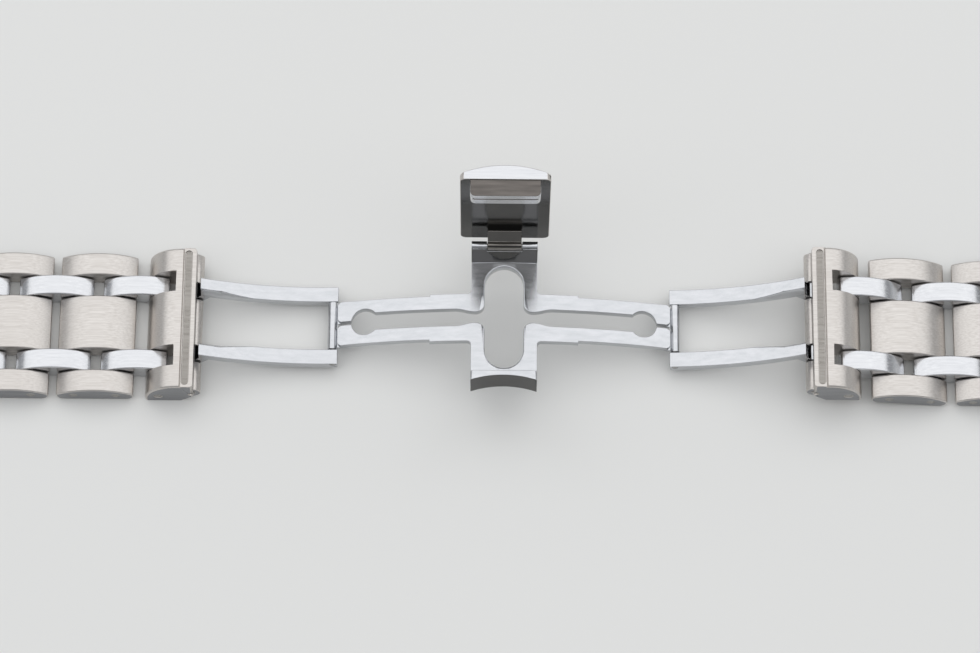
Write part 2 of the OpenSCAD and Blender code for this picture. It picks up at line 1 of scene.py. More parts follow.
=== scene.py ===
# %% [markdown]
# # A five-row steel bracelet, lying open
# This is the metal bracelet of a wristwatch, with its butterfly clasp unfolded and the outer
# face up. Every visible part is stainless steel, so the finishes tell the parts apart: satin
# links and polished links between them, a bright stamped clasp, and a lid that is satin
# outside and smooth inside, where a painted dark reflection darkens its colour.
#
# The CAD model gives each solid its size, its place and its hinge. This file loads that model
# as a fixed frame, puts softly rounded metal over it, and adds the materials, the lights and
# the camera. One Blender unit is a metre.

import json
import math

import bmesh
import bpy
from mathutils import Matrix, Vector
from mathutils.bvhtree import BVHTree


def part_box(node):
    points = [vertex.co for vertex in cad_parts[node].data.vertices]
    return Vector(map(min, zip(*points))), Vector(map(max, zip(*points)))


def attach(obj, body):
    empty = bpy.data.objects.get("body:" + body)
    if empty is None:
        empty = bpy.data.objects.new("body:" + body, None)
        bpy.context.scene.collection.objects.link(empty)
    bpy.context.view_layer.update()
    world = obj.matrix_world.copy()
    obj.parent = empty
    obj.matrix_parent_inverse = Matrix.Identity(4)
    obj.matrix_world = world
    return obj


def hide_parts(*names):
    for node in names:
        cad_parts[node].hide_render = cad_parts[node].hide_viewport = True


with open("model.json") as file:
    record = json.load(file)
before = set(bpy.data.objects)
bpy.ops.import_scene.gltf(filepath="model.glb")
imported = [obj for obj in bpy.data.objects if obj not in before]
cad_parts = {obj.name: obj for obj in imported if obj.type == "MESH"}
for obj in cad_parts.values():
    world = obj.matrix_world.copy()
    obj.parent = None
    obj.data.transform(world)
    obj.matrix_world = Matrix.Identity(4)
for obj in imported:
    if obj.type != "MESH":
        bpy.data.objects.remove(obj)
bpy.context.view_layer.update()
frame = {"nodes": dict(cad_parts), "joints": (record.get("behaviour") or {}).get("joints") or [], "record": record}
MM = 0.001

SIDES = {"left": -1, "right": 1}
ROWS = 4
hinge_at = {joint["name"]: Vector(joint["pos_m"]) for joint in frame["joints"]}
bodies = frame["record"]["behaviour"]["bodies"]
body_of = {node: body for body, members in bodies.items() for node in members}
print("solids:", len(frame["nodes"]), "bodies:", len(bodies), "hinges:", len(hinge_at))

# %% [markdown]
# ## Two small helpers
# Every material and every node tree here is put together by the script, so one function adds
# a node with its settings and its links. A colour is written as it looks on a screen, in
# sRGB hex. Blender calculates in linear light, so another function converts it.

# %% Helpers for nodes and colours
def add(tree, kind, values=None, links=None, **settings):
    """Adds a node, sets its options and sockets, and links sockets to other nodes' outputs."""
    node = tree.nodes.new(kind)
    for option, value in settings.items():
        setattr(node, option, value)
    for socket, value in (values or {}).items():
        node.inputs[socket].default_value = value
    for socket, source in (links or {}).items():
        tree.links.new(source, node.inputs[socket])
    return node


def linear(hex_colour):
    """An sRGB hex colour as linear red, green, blue and alpha."""
    parts = [int(hex_colour[i:i + 2], 16) / 255 for i in (1, 3, 5)]
    return [p / 12.92 if p <= 0.04045 else ((p + 0.055) / 1.055) ** 2.4 for p in parts] + [1.0]


print("mid grey #808080 in linear light:", round(linear("#808080")[0], 3))

# %% [markdown]
# ## Steel and its finishes
# All of it is 316L stainless steel, a slightly warm grey metal. What differs is how the
# surface was made. A satin finish comes from an abrasive belt that runs along the bracelet:
# it leaves fine parallel lines, which spread a reflection across the lines and keep it short
# along them. A polished face was buffed until only hairlines were left, and it mirrors the
# room. A stamped part keeps faint ripples from the rolled sheet.
#
# One function makes all of these, because they are one metal with a coarser or finer grain.
# Three of them are also darkened, to paint a dark reflection into their colour.
# Grain is noise that is stretched along the direction of the abrasive. The real belt leaves
# lines about 0.03 mm apart, too fine for the picture, so they are drawn 0.1 to 0.2 mm apart.
# The lines tilt the surface by bump, change the roughness a little and tint the metal a
# little. A slow second noise stands for the unevenness that a hand leaves on any finish.

# %% Make the steel finishes
def steel(name, colour, shade, roughness, spread, grain, bump, patch=9.0):
    """Steel with a grain of the given size in mm along X, Y and Z, and a depth in mm."""
    material = bpy.data.materials.new(name)
    material.use_nodes = True
    tree = material.node_tree
    tree.nodes.clear()
    place = add(tree, "ShaderNodeTexCoord")
    stretched = add(tree, "ShaderNodeMapping", {"Scale": [1 / (g * MM) for g in grain]},
                    {"Vector": place.outputs["Object"]})
    lines = add(tree, "ShaderNodeTexNoise", {"Scale": 1.0, "Detail": 3.0, "Roughness": 0.6},
                {"Vector": stretched.outputs["Vector"]})
    cloud = add(tree, "ShaderNodeTexNoise", {"Scale": 1 / (patch * MM), "Detail": 2.0},
                {"Vector": place.outputs["Object"]})
    tint = add(tree, "ShaderNodeMapRange",
               {"From Min": 0.3, "From Max": 0.7, "To Min": 0.0, "To Max": 1.0},
               {"Value": lines.outputs["Fac"]})
    metal = add(tree, "ShaderNodeMix", {"A": linear(shade), "B": linear(colour)},
                {"Factor": tint.outputs["Result"]}, data_type="RGBA")
    worn = add(tree, "ShaderNodeMix", {"B": linear(shade)}, {"A": metal.outputs["Result"]},
               data_type="RGBA")
    faint = add(tree, "ShaderNodeMapRange",
                {"From Min": 0.35, "From Max": 0.8, "To Min": 0.0, "To Max": 0.5},
                {"Value": cloud.outputs["Fac"]})
    tree.links.new(faint.outputs["Result"], worn.inputs["Factor"])
    gloss = add(tree, "ShaderNodeMapRange",
                {"From Min": 0.3, "From Max": 0.7, "To Min": roughness - spread,
                 "To Max": roughness + spread}, {"Value": lines.outputs["Fac"]})
    tilt = add(tree, "ShaderNodeBump", {"Strength": 1.0, "Distance": bump * MM},
               {"Height": lines.outputs["Fac"]})
    surface = add(tree, "ShaderNodeBsdfPrincipled", {"Metallic": 1.0},
                  {"Base Color": worn.outputs["Result"], "Roughness": gloss.outputs["Result"],
                   "Normal": tilt.outputs["Normal"]})
    add(tree, "ShaderNodeOutputMaterial", links={"Surface": surface.outputs["BSDF"]})
    return material


finish = {
    "satin": steel("belt-brushed satin steel", "#D6D2CE", "#BDB8B3", 0.34, 0.05,
                   (7.0, 0.16, 0.16), 0.004),
    "polished": steel("buffed polished steel", "#D8D9DB", "#CACBCE", 0.19, 0.03,
                      (5.0, 0.25, 0.25), 0.0012),
    "stamped": steel("stamped and buffed clasp steel", "#CFD0D3", "#C1C3C6", 0.17, 0.03,
                     (2.6, 0.7, 0.7), 0.0008, 5.0),
    # Not the metal's own colour: darkened to a painted dark reflection of the dark gap and room, for the lid's
    # inside, the plate's upright faces and the lug flank.
    "mirror": steel("mirror-polished clasp steel", "#4C4B49", "#3A3938", 0.12, 0.02,
                    (6.0, 6.0, 6.0), 0.0004),
    # Not the metal's own colour: darkened to a painted darker reflection on the top of the latch bar.
    "latch_painted_reflection": steel("mirror-polished latch steel", "#736E6A", "#5A5653", 0.14, 0.03,
                  (5.0, 0.5, 0.5), 0.0008),
    "milled": steel("milled clasp steel", "#A39F9A", "#86827D", 0.3, 0.05,
                    (3.0, 0.3, 3.0), 0.004),
    # Not the metal's own colour: darkened to a painted dark reflection of the table on the sides of the links and
    # end links.
    "side": steel("polished side steel", "#9A9B9E", "#858689", 0.16, 0.03,
                  (5.0, 0.3, 0.3), 0.0012),
    "drawn": steel("drawn pin steel", "#B9B7B4", "#96938F", 0.25, 0.05,
                   (0.2, 2.5, 0.2), 0.002),
}
print("finishes:", ", ".join(material.name for material in finish.values()))

# %% [markdown]
# ## The side outline of a link
# Seen from its side, every link is the same slim block: flat below, with round lower corners
# so that it can turn against its neighbour, and a crowned top that ends in small roundings.
# It could be one curve drawn by hand, but the real one is made of arcs that touch, so the
# outline is worked out from them. Each point also keeps the direction that points outward,
# which is needed later to round the long edges.

# %% Work out the outline of a link
LINK = {
    "pitch": 10.29, "pin_height": 1.45, "pin_radius": 0.51, "thickness": 3.0, "crown": 7.8,
    "foot": 1.0, "end": 0.25, "row": 9.32, "mid": 9.07, "mid_rise": 0.1, "first_over": 1.0,
}
STEP = LINK["pitch"] / 2
FOOT_PARTS, END_PARTS, CROWN_PARTS = 6, 4, 12


def arc(centre, radius, start, stop, count):
    """Points on an arc from one angle to another in degrees, each with its outward direction."""
    points = []
    for i in range(count + 1):
        angle = math.radians(start + (stop - start) * i / count)
        out = Vector((math.cos(angle), 0, math.sin(angle)))
        points.append((Vector((centre[0], 0, centre[1])) + out * radius, out))
    return points


def link_outline(name, over_in, over_out, top):
    """An outline in X and Z, in metres, with the inner pin of the link at the origin."""
    low, foot, end = -LINK["pin_height"], LINK["foot"], LINK["end"]
    crown, crown_centre = LINK["crown"], (STEP / 2, top - LINK["crown"])
    points = []
    for edge, turn in ((STEP + over_out, 1), (-over_in, -1)):
        round_x = edge - turn * end
        reach = abs(round_x - STEP / 2)
        round_z = crown_centre[1] + math.sqrt((crown - end) ** 2 - reach ** 2)
        lean = math.degrees(math.atan2(round_z - crown_centre[1], reach))
        below, level, leaning = (a if turn > 0 else 180 - a for a in (-90, 0, lean))
        side = arc((edge - turn * foot, low + foot), foot, below, level, FOOT_PARTS)
        side += arc((round_x, round_z), end, level, leaning, END_PARTS)
        side += arc(crown_centre, crown, leaning, 90, CROWN_PARTS)[1:]
        # The second side runs back down, and the top of the crown is already there
        points += side if turn > 0 else side[-2::-1]
    mesh = bpy.data.meshes.new(name)
    mesh.from_pydata([p * MM for p, _ in points], [], [])
    outward = mesh.attributes.new("outward", "FLOAT_VECTOR", "POINT")
    for i, (_, direction) in enumerate(points):
        outward.data[i].vector = direction
    return bpy.data.objects.new(name, mesh)


row_over = (LINK["row"] - STEP) / 2
mid_over = (LINK["mid"] - STEP) / 2
row_top = LINK["thickness"] - LINK["pin_height"]
outlines = {
    "row": link_outline("row outline", row_over, row_over, row_top),
    "mid": link_outline("mid outline", mid_over, mid_over, row_top + LINK["mid_rise"]),
    "first": link_outline("first mid outline", LINK["first_over"], mid_over,
                          row_top + LINK["mid_rise"]),
}
print({name: len(outline.data.vertices) for name, outline in outlines.items()}, "points")

# %% [markdown]
# ## Links with Geometry Nodes
# The bracelet is one outline used again and again at three widths, so the links are made by
# Geometry Nodes. A grid is wrapped round the outline: its columns go round the link, and its
# rows go across it. The rows next to each side are drawn in by a quarter circle, which
# rounds the long edges as tumbling does on the real links, and the first and last row close
# the sides. The finished link is then placed once or twice across the bracelet, drilled for
# its pins, and put where its hinge is. The first links also get the channel below them
# that lets the folded clasp lie under them.

# %% Build the tree for links
# The rows of the grid are counted from 0 on one side to this one on the other
LAST_ROW = 11
MERGE_DISTANCE = 0.002 * MM
DRILL_LENGTH, DRILL_SIDES = 40 * MM, 40
BLOCK_LENGTH, BLOCK_DEPTH = 30 * MM, 10 * MM


def link_tree():
    """The node tree that turns an outline into one or two drilled links in their place."""
    tree = bpy.data.node_groups.new("Links across the bracelet", "GeometryNodeTree")
    sockets = [
        ("Outline", "NodeSocketObject"), ("Points", "NodeSocketInt"),
        ("Width", "NodeSocketFloat"), ("Edge Rounding", "NodeSocketFloat"),
        ("Count", "NodeSocketInt"), ("Spread", "NodeSocketFloat"),
        ("Bore Radius", "NodeSocketFloat"), ("Pin Step", "NodeSocketFloat"),
        ("Channel Top", "NodeSocketFloat"), ("Channel Middle", "NodeSocketFloat"),
        ("Channel Width", "NodeSocketFloat"), ("Turn", "NodeSocketVector"),
        ("Place", "NodeSocketVector"), ("Finish", "NodeSocketMaterial"),
    ]
    tree.interface.new_socket("Geometry", in_out="OUTPUT", socket_type="NodeSocketGeometry")
    for name, kind in sockets:
        tree.interface.new_socket(name, in_out="INPUT", socket_type=kind)
    given = add(tree, "NodeGroupInput").outputs

    def math_node(operation, *terms):
        """The output of a calculation on numbers and other nodes' outputs."""
        values = {i: t for i, t in enumerate(terms) if isinstance(t, (int, float))}
        links = {i: t for i, t in enumerate(terms) if not isinstance(t, (int, float))}
        return add(tree, "ShaderNodeMath", values, links, operation=operation).outputs[0]

    # A column of the grid for each point of the outline and one more that closes the ring
    ring = math_node("ADD", given["Points"], 1)
    grid = add(tree, "GeometryNodeMeshGrid", {"Vertices X": LAST_ROW + 1},
               {"Vertices Y": ring})
    index = add(tree, "GeometryNodeInputIndex").outputs[0]
    row = math_node("FLOOR", math_node("DIVIDE", math_node("ADD", index, 0.5), ring))
    column = math_node("SUBTRACT", index, math_node("MULTIPLY", row, ring))
    on_outline = math_node("FLOORED_MODULO", column, given["Points"])

    # The point of the outline and its outward direction
    outline = add(tree, "GeometryNodeObjectInfo", links={"Object": given["Outline"]})
    place = add(tree, "GeometryNodeInputPosition").outputs[0]
    outward = add(tree, "GeometryNodeInputNamedAttribute", {"Name": "outward"},
                  data_type="FLOAT_VECTOR").outputs[0]
    point, direction = [
        add(tree, "GeometryNodeSampleIndex", links={
            "Geometry": outline.outputs["Geometry"], "Value": source, "Index": on_outline,
        }, data_type="FLOAT_VECTOR").outputs[0] for source in (place, outward)]

    # How far a row lies from its side, and how far it is drawn in, along a quarter circle
    from_side = math_node("MINIMUM", row, math_node("SUBTRACT", LAST_ROW, row))
    share = math_node("DIVIDE", math_node("SUBTRACT", from_side, 1), LAST_ROW // 2 - 1)
    angle = math_node("MULTIPLY", math_node("MAXIMUM", share, 0), math.pi / 2)
    rim = given["Edge Rounding"]
    along = math_node("MULTIPLY", rim, math_node("SUBTRACT", 1, math_node("COSINE", angle)))
    inset = math_node("MULTIPLY", rim, math_node("SUBTRACT", 1, math_node("SINE", angle)))
    side = math_node("SUBTRACT", math_node("MULTIPLY", given["Width"], 0.5), along)
    sign = math_node("SIGN", math_node("SUBTRACT", row, LAST_ROW / 2))
    across = add(tree, "ShaderNodeCombineXYZ", links={"Y": math_node("MULTIPLY", side, sign)})
    drawn_in = add(tree, "ShaderNodeVectorMath",
                   links={0: direction, "Scale": math_node("MULTIPLY", inset, -1)},
                   operation="SCALE")
    middle = add(tree, "ShaderNodeCombineXYZ",
                 links={"X": math_node("MULTIPLY", given["Pin Step"], 0.5)})
    wall = add(tree, "ShaderNodeVectorMath", links={0: point, 1: drawn_in.outputs[0]},
               operation="ADD")
    closed = add(tree, "GeometryNodeSwitch", links={
        "Switch": math_node("LESS_THAN", from_side, 0.5),
        "False": wall.outputs[0], "True": middle.outputs[0]}, input_type="VECTOR")
    target = add(tree, "ShaderNodeVectorMath",
                 links={0: closed.outputs[0], 1: across.outputs[0]}, operation="ADD")
    wrapped = add(tree, "GeometryNodeSetPosition",
                  links={"Geometry": grid.outputs["Mesh"], "Position": target.outputs[0]})
    link = add(tree, "GeometryNodeMergeByDistance", {"Distance": MERGE_DISTANCE},
               {"Geometry": wrapped.outputs[0]})

    # One link in the middle, or one on each side of it
    spread = given["Spread"]
    start = add(tree, "ShaderNodeCombineXYZ", links={"Y": math_node("MULTIPLY", spread, -1)})
    offset = add(tree, "ShaderNodeCombineXYZ", links={"Y": math_node("MULTIPLY", spread, 2)})
    places = add(tree, "GeometryNodeMeshLine", links={
        "Count": given["Count"], "Start Location": start.outputs[0],
        "Offset": offset.outputs[0]})
    links_here = add(tree, "GeometryNodeInstanceOnPoints",
                     links={"Points": places.outputs[0], "Instance": link.outputs[0]})
    solid = add(tree, "GeometryNodeRealizeInstances", links={"Geometry": links_here.outputs[0]})

    # The two drills, and the cutter for the channel
    rod = add(tree, "GeometryNodeMeshCylinder", {"Vertices": DRILL_SIDES, "Depth": DRILL_LENGTH},
              {"Radius": given["Bore Radius"]}, fill_type="NGON")
    laid = add(tree, "GeometryNodeTransform", {"Rotation": (math.pi / 2, 0, 0)},
               {"Geometry": rod.outputs["Mesh"]})
    step = add(tree, "ShaderNodeCombineXYZ", links={"X": given["Pin Step"]})
    pins = add(tree, "GeometryNodeMeshLine", {"Count": 2}, {"Offset": step.outputs[0]})
    drills = add(tree, "GeometryNodeInstanceOnPoints",
                 links={"Points": pins.outputs[0], "Instance": laid.outputs[0]})
    size = add(tree, "ShaderNodeCombineXYZ", {"X": BLOCK_LENGTH, "Z": BLOCK_DEPTH},
               {"Y": given["Channel Width"]})
    block = add(tree, "GeometryNodeMeshCube", links={"Size": size.outputs[0]})
    middle_y = given["Channel Middle"]
    block_z = math_node("SUBTRACT", given["Channel Top"], BLOCK_DEPTH / 2)
    block_start = add(tree, "ShaderNodeCombineXYZ",
                      links={"Y": math_node("MULTIPLY", middle_y, -1), "Z": block_z})
    block_offset = add(tree, "ShaderNodeCombineXYZ",
                       links={"Y": math_node("MULTIPLY", middle_y, 2)})
    block_places = add(tree, "GeometryNodeMeshLine", {"Count": 2}, {
        "Start Location": block_start.outputs[0], "Offset": block_offset.outputs[0]})
    cutters = add(tree, "GeometryNodeInstanceOnPoints",
                  links={"Points": block_places.outputs[0], "Instance": block.outputs["Mesh"]})
    tools = add(tree, "GeometryNodeJoinGeometry")
    tree.links.new(drills.outputs[0], tools.inputs[0])
    tree.links.new(cutters.outputs[0], tools.inputs[0])
    sharp_tools = add(tree, "GeometryNodeRealizeInstances", links={"Geometry": tools.outputs[0]})
    drilled = add(tree, "GeometryNodeMeshBoolean", operation="DIFFERENCE", solver="EXACT",
                  links={0: solid.outputs[0], 1: sharp_tools.outputs[0]})

    # Put it where its hinge is
    placed = add(tree, "GeometryNodeTransform", links={
        "Geometry": drilled.outputs["Mesh"], "Translation": given["Place"],
        "Rotation": given["Turn"]})
    real = add(tree, "GeometryNodeRealizeInstances", links={"Geometry": placed.outputs[0]})
    metal = add(tree, "GeometryNodeSetMaterial",
                links={"Geometry": real.outputs[0], "Material": given["Finish"]})
    add(tree, "NodeGroupOutput", links={"Geometry": metal.outputs[0]})
    return tree


links_across = link_tree()
print("nodes in the link tree:", len(links_across.nodes))

# %% [markdown]
# ## Make every link
# A link's slope is the direction from its own hinge to the next one, so it is read from the
# frame's hinges and isn't typed again. The left half is the right half turned round, because
# a link is the same seen from both of its sides. Each result is a plain mesh that rides on
# its own body and stands for its CAD solid.

# %% Place the links on their hinges
ACROSS = {
    # width, how many, distance of their middle from the centre line, edge rounding
    "centre": (6.9, 1, 0.0, 0.22),
    "mid_pair": (2.5, 2, 4.8, 0.2),
    "outer_pair": (2.85, 2, 7.575, 0.24),
}
# The folded rails, and the channel for them, whose top is measured from the inner pin
RAIL_MIDDLE, RAIL_ROOM, CHANNEL_TOP, NO_CHANNEL = 4.05, 2.1, -0.95, -9.0
# A face that looks to the side has at least this much of its normal along Y
SIDEWAYS = 0.97
# Smooth shading stops where the surface turns by more than this
SMOOTH_TURN = math.radians(38)


def baked(piece):
    """Turns what the modifiers make into the piece's own mesh, and drops the modifiers."""
    evaluated = piece.evaluated_get(bpy.context.evaluated_depsgraph_get())
    piece.data = bpy.data.meshes.new_from_object(evaluated)
    piece.data.name = piece.name
    piece.modifiers.clear()


def finished(piece, node):
    """Shades a piece as machined metal, and lets it stand for its CAD solid."""
    piece.data.shade_smooth()
    piece.data.set_sharp_from_angle(angle=SMOOTH_TURN)
    flat = piece.modifiers.new("Flat faces stay flat", "WEIGHTED_NORMAL")
    flat.keep_sharp = True
    baked(piece)
    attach(piece, body_of[node])
    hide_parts(node)
    return piece


def coat(piece, material, chosen):
    """Gives a second finish to the faces that the test picks by centre, in mm, and normal."""
    piece.data.materials.append(material)
    count = 0
    for face in piece.data.polygons:
        if chosen(face.center / MM, face.normal):
            face.material_index = len(piece.data.materials) - 1
            count += 1
    return count


def make_link(node, kind, outline, hinge, slope, side, channel, material):
    """A piece of one or two links for a CAD solid, with its inner pin on a hinge."""
    width, count, spread, rounding = ACROSS[kind]
    piece = bpy.data.objects.new(node + "_metal", bpy.data.meshes.new(node + "_metal"))
    bpy.context.scene.collection.objects.link(piece)
    modifier = piece.modifiers.new("Links", "NODES")
    modifier.node_group = links_across
    given = {
        "Outline": outlines[outline], "Points": len(outlines[outline].data.vertices),
        "Width": width * MM, "Edge Rounding": rounding * MM, "Count": count,
        "Spread": spread * MM, "Bore Radius": LINK["pin_radius"] * MM, "Pin Step": STEP * MM,
        "Channel Top": (CHANNEL_TOP if channel else NO_CHANNEL) * MM,
        "Channel Middle": RAIL_MIDDLE * MM, "Channel Width": RAIL_ROOM * MM,
        "Turn": (0, slope, 0 if side > 0 else math.pi), "Place": tuple(hinge),
        "Finish": material,
    }
    for socket in links_across.interface.items_tree:
        if socket.in_out == "INPUT":
            modifier[socket.identifier] = given[socket.name]
    baked(piece)
    # The sides of the outer links get the painted dark reflection of the table.
    if kind == "outer_pair":
        coat(piece, finish["side"], lambda centre, normal: abs(normal.y) > SIDEWAYS
             and abs(centre.y - hinge.y / MM) > ACROSS["outer_pair"][2])
    return finished(piece, node)


links = []
for side_name, side in SIDES.items():
    chain = []
    for k in range(1, ROWS + 1):
        chain += [f"mid_{k}_hinge", f"row_{k}_hinge"]
    chain += [f"mid_{ROWS + 1}_hinge", "lug_link_hinge"]
    hinges = [hinge_at[f"{side_name}_{joint}"] for joint in chain]
    for i in range(len(hinges) - 1):
        way = hinges[i + 1] - hinges[i]
        slope = math.atan2(-way.z, abs(way.x))
        k = i // 2 + 1
        first = k == 1
        if i % 2 == 0:
            links.append(make_link(f"{side_name}_mid_pair_{k}", "mid_pair",
                                   "first" if first else "mid", hinges[i], slope, side, first,
                                   finish["polished"]))
        else:
            for kind in ("centre", "outer_pair"):
                links.append(make_link(f"{side_name}_{kind}_{k}", kind, "row", hinges[i],
                                       slope, side, first and kind == "centre",
                                       finish["satin"]))
print("link pieces:", len(links), "with", sum(len(p.data.polygons) for p in links), "faces")

# %% [markdown]
# ## Soft edges on the clasp and the end links
# The clasp's blade, rails and lid, and the end links, are single shapes that repeat nowhere
# else. Their CAD solids have the right form, but every edge is perfectly sharp, and a
# perfectly sharp edge never catches the light as real metal does. A copy of each solid is
# merged into clean faces and given a bevel of a few hundredths of a millimetre, which is
# what deburring leaves. Only edges with a sharp turn get one, so that round surfaces stay as
# they are. A bevel must not be wider than the face beside it, or it folds over. So each edge
# gets its own weight, from the room that its two faces leave. The tips of the blade are only
# slivers beside the end barrels, and they get a quarter of the bevel at most. A corner that
# still strays from the solid is put back on the solid's surface.

# %% Round the edges of the single parts
# Edges that turn more are rounded, and faces that turn less become one face
SHARP_TURN, FLAT_TURN = math.radians(42), math.radians(0.4)
# Where along an edge the room is measured, and how much of it the bevel may take
SAMPLES = (0.25, 0.5, 0.75)
ALONE, SHARED = 0.9, 0.45
# A room in metres that is wider than any face
WIDEST = 1.0
# Shares of the bevel's width: its width at a tip, and how far a corner may lie from the solid
TIP_SHARE, STRAY_SHARE = 0.25, 0.6
# In mm: corners closer than this become one, and where along X the tips start
FINE_MERGE, COARSE_MERGE = 0.005, 0.03
BLADE_REACH, NO_REACH = 19.3, 100.0


def room_beside(loop, sharp):
    """The room on a face beside an edge, which it may share with a cut edge on the far side."""
    start = loop.vert.co
    along = (loop.link_loop_next.vert.co - start).normalized()
    inward = loop.face.normal.cross(along)
    room = WIDEST
    for share in SAMPLES:
        point = start + along * (loop.edge.calc_length() * share)
        for other in loop.face.loops:
            near, far = other.vert.co - point, other.link_loop_next.vert.co - point
            near_x, far_x = near.dot(along), far.dot(along)
            if other == loop or near_x * far_x > 0 or near_x == far_x:
                continue
            near_y, far_y = near.dot(inward), far.dot(inward)
            way = near_y + (far_y - near_y) * near_x / (near_x - far_x)
            if way > 0:
                room = min(room, way * (SHARED if other.edge in sharp else ALONE))
    return room


def deburred(node, width, material, segments=2, merge=FINE_MERGE, reach=NO_REACH):
    """A copy of a CAD solid with its edges rounded by a width in mm, in one finish.

    Edges that lie farther along X than the reach, in mm, count as tips.
    """
    mesh = frame["nodes"][node].data.copy()
    mesh.name = node + "_metal"
    mesh.materials.clear()
    mesh.materials.append(material)
    form = bmesh.new()
    form.from_mesh(mesh)
    solid = BVHTree.FromBMesh(form)
    bmesh.ops.remove_doubles(form, verts=form.verts, dist=merge * MM)
    bmesh.ops.dissolve_limit(form, angle_limit=FLAT_TURN, verts=form.verts, edges=form.edges)
    for face in form.faces:
        face.material_index = 0
        face.smooth = True
    weight = form.edges.layers.float.new("bevel_weight_edge")
    sharp = {edge for edge in form.edges
             if len(edge.link_faces) == 2 and edge.calc_face_angle() > SHARP_TURN}
    for edge in sharp:
        room = min(room_beside(loop, sharp) for loop in edge.link_loops)
        tip = max(abs(corner.co.x) for corner in edge.verts) > reach * MM
        edge[weight] = min(TIP_SHARE if tip else 1.0, room / (width * MM))
    form.to_mesh(mesh)
    form.free()
    piece = bpy.data.objects.new(node + "_metal", mesh)
    bpy.context.scene.collection.objects.link(piece)
    bevel = piece.modifiers.new("Deburred edges", "BEVEL")
    bevel.width = width * MM
    bevel.segments = segments
    bevel.limit_method = "WEIGHT"
    bevel.use_clamp_overlap = False
    baked(piece)
    for corner in piece.data.vertices:
        nearest, _, _, gap = solid.find_nearest(corner.co)
        if gap > STRAY_SHARE * width * MM:
            corner.co = nearest
    return finished(piece, node)


single = {"blade": deburred("blade", 0.06, finish["stamped"], reach=BLADE_REACH)}
single["lid"] = deburred("lid", 0.12, finish["satin"], 3)
single["lid_latch_bar"] = deburred("lid_latch_bar", 0.08, finish["polished"])
single["lid_hinge_lug"] = deburred("lid_hinge_lug", 0.05, finish["milled"])
for side_name in SIDES:
    for part, width, material, merge in (
            ("back_rail", 0.09, "stamped", COARSE_MERGE),
            ("front_rail", 0.09, "stamped", COARSE_MERGE),
            ("end_link", 0.06, "satin", FINE_MERGE), ("lug_end", 0.04, "satin", FINE_MERGE)):
        node = f"{side_name}_{part}"
        single[node] = deburred(node, width, finish[material], merge=merge)
print("deburred parts:", len(single), "with",
      sum(len(p.data.polygons) for p in single.values()), "faces")

# %% [markdown]
# ## Second finishes
# Some parts have two finishes on one solid. The lid is brushed outside, buffed along its end
# and smooth inside, with a painted dark reflection in its colour there. The upright faces of
# the clasp plate and the flank of the hinge lug are smooth as well, with the same painted dark
# reflection of the gap below the open lid. The top of the latch bar has a painted darker
# reflection, and the sides of the end links have a painted dark reflection of the table. The
# floor of the groove along each end link keeps the marks of the cutter. Each is picked by where
# a face lies and where it looks, in the pose in which the bracelet lies.

# %% Give single faces their own finish
# How much of a face's normal lies along the axis that it has to look along
FACING, NEARLY_FACING, LEVEL = 0.9, 0.8, 0.999
FLANK_UP, FLANK_FRONT = 0.7, -0.3
# Places in mm: above the plate, in front of it, the groove below its strip, and the sides
ABOVE_PLATE, AHEAD_OF_PLATE = 5.7, -9.0
GROOVE_DEPTH, SAME_HEIGHT = 0.3, 0.01
SIDE_FROM = 8.5
counts = {
    # The lid's inside gets the painted dark reflection.
    "lid inside": coat(single["lid"], finish["mirror"],
                       lambda centre, normal: normal.y < -FACING),
    "lid end": coat(single["lid"], finish["polished"],
                    lambda centre, normal: normal.z > FACING),
    # The top of the latch bar gets the painted darker reflection.
    "latch bar": coat(single["lid_latch_bar"], finish["latch_painted_reflection"],
                      lambda centre, normal: normal.z > FACING),
    # The upright faces of the plate get the painted dark reflection.
    "walls of the plate": coat(single["blade"], finish["mirror"],
                               lambda centre, normal: normal.y < -NEARLY_FACING
                               and (centre.z > ABOVE_PLATE or centre.y < AHEAD_OF_PLATE)),
    # The lug flank gets the painted dark reflection.
    "lug flank": coat(single["lid_hinge_lug"], finish["mirror"],
                      lambda centre, normal: normal.z > FLANK_UP
                      and normal.y < FLANK_FRONT),
}
for side_name in SIDES:
    node = f"{side_name}_end_link"
    groove_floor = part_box(node)[1].z / MM - GROOVE_DEPTH
    counts[node] = coat(single[node], finish["milled"],
                        lambda centre, normal: abs(centre.z - groove_floor) < SAME_HEIGHT
                        and normal.z > LEVEL)
    # The sides of the end link get the painted dark reflection of the table.
    coat(single[node], finish["side"], lambda centre, normal: abs(normal.y) > SIDEWAYS
         and abs(centre.y) > SIDE_FROM)
print("faces with a second finish:", counts)

# %% [markdown]
# ## Pins
# The pins keep their CAD solids, because a drawn steel rod has nothing else to show than its
# flat ends and its finish.

# %% Give the pins their finish
pins = [node for node in frame["nodes"] if "pin" in node]
for node in pins:
    mesh = frame["nodes"][node].data
    mesh.materials.clear()
    mesh.materials.append(finish["drawn"])
print("pins:", len(pins))

# %% [markdown]
# ## Table, backdrop and light
# Polished steel is only as good as what it reflects. The table is a plain pale board. A wide
# softbox hangs above and a little behind the clasp, where the camera sees its reflection in
# level steel. It reaches far to both sides, so the crowned links are bright nearly to their
# ends, where they turn to the darker room above its walls. The walls are pale, because a low
# view looks at them behind the table.

# %% Lay the table and hang the lights
TABLE_HALF = 3.0
# How steeply a ray has to rise to pass the walls, and to reach the darker room above them
WALL_TOP, ROOM_START = 0.16, 0.34
# The softbox in metres, and its brightness, where 1 renders as white
BOX_SIZE, BOX_PLACE, BOX_RADIANCE = (2.5, 1.5), (0.0, 0.3, 0.7), 0.97

